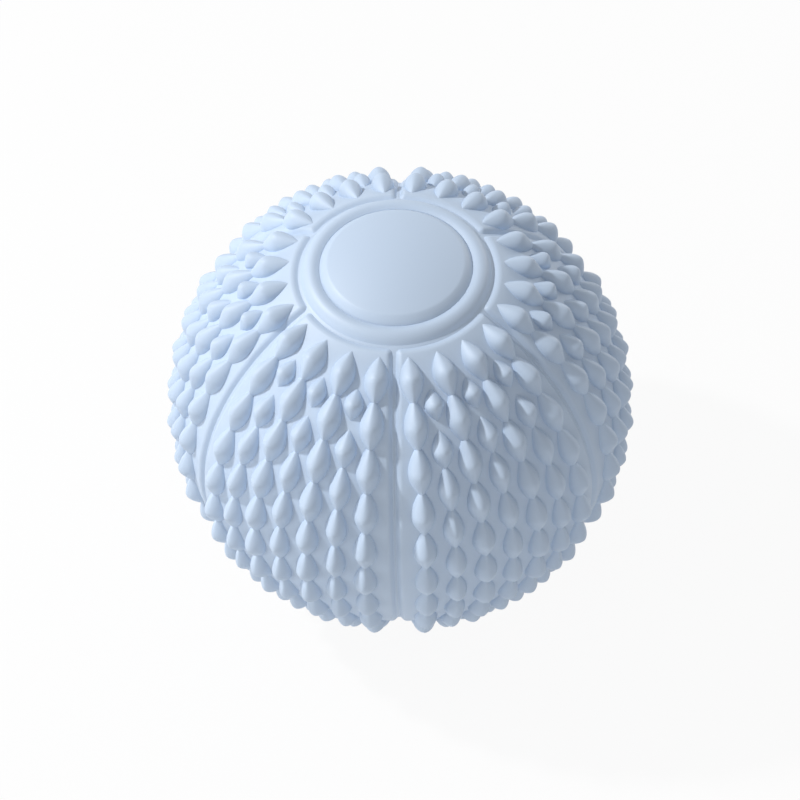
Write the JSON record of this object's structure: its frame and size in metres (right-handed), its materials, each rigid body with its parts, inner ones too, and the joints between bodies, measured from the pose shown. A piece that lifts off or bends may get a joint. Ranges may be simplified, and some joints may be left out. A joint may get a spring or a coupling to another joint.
{
  "type": "dryer ball",
  "caption": "Laundry dryer ball with soft nubbed gore panels on a hollow core, a bead collar at each pole and a pull-out plug cap that carries a scent pad.",
  "frame": {"origin": "centre of the ball, halfway between the top of the cap and the foot of the base plug", "axes": "+Z through the poles towards the cap; the seam between the first and last panels faces -Y"},
  "size_m": [0.0694, 0.0694, 0.066],
  "materials": {
    "soft_skin": "matte moulded thermoplastic rubber",
    "pole_plastic": "matte moulded plastic in the colour of the skin",
    "core_plastic": "plain white moulded plastic",
    "seal_rubber": "smooth grey rubber",
    "pad_felt": "undyed pressed felt"
  },
  "bodies": {
    "ball": {"nub_panel_1": "soft_skin", "nub_panel_2": "soft_skin", "nub_panel_3": "soft_skin", "nub_panel_4": "soft_skin", "nub_panel_5": "soft_skin", "nub_panel_6": "soft_skin", "core_top": "core_plastic", "core_bottom": "core_plastic", "top_collar": "pole_plastic", "base_collar": "pole_plastic", "base_plug": "pole_plastic"},
    "cap": {"cap": "pole_plastic", "cap_seal": "seal_rubber", "scent_basket": "core_plastic", "scent_pad": "pad_felt"}
  },
  "joints": [
    {"name": "cap_pull", "type": "slide", "parent": "ball", "child": "cap", "axis": [0, 0, 1], "range_m": [0, 0.032]}
  ]
}
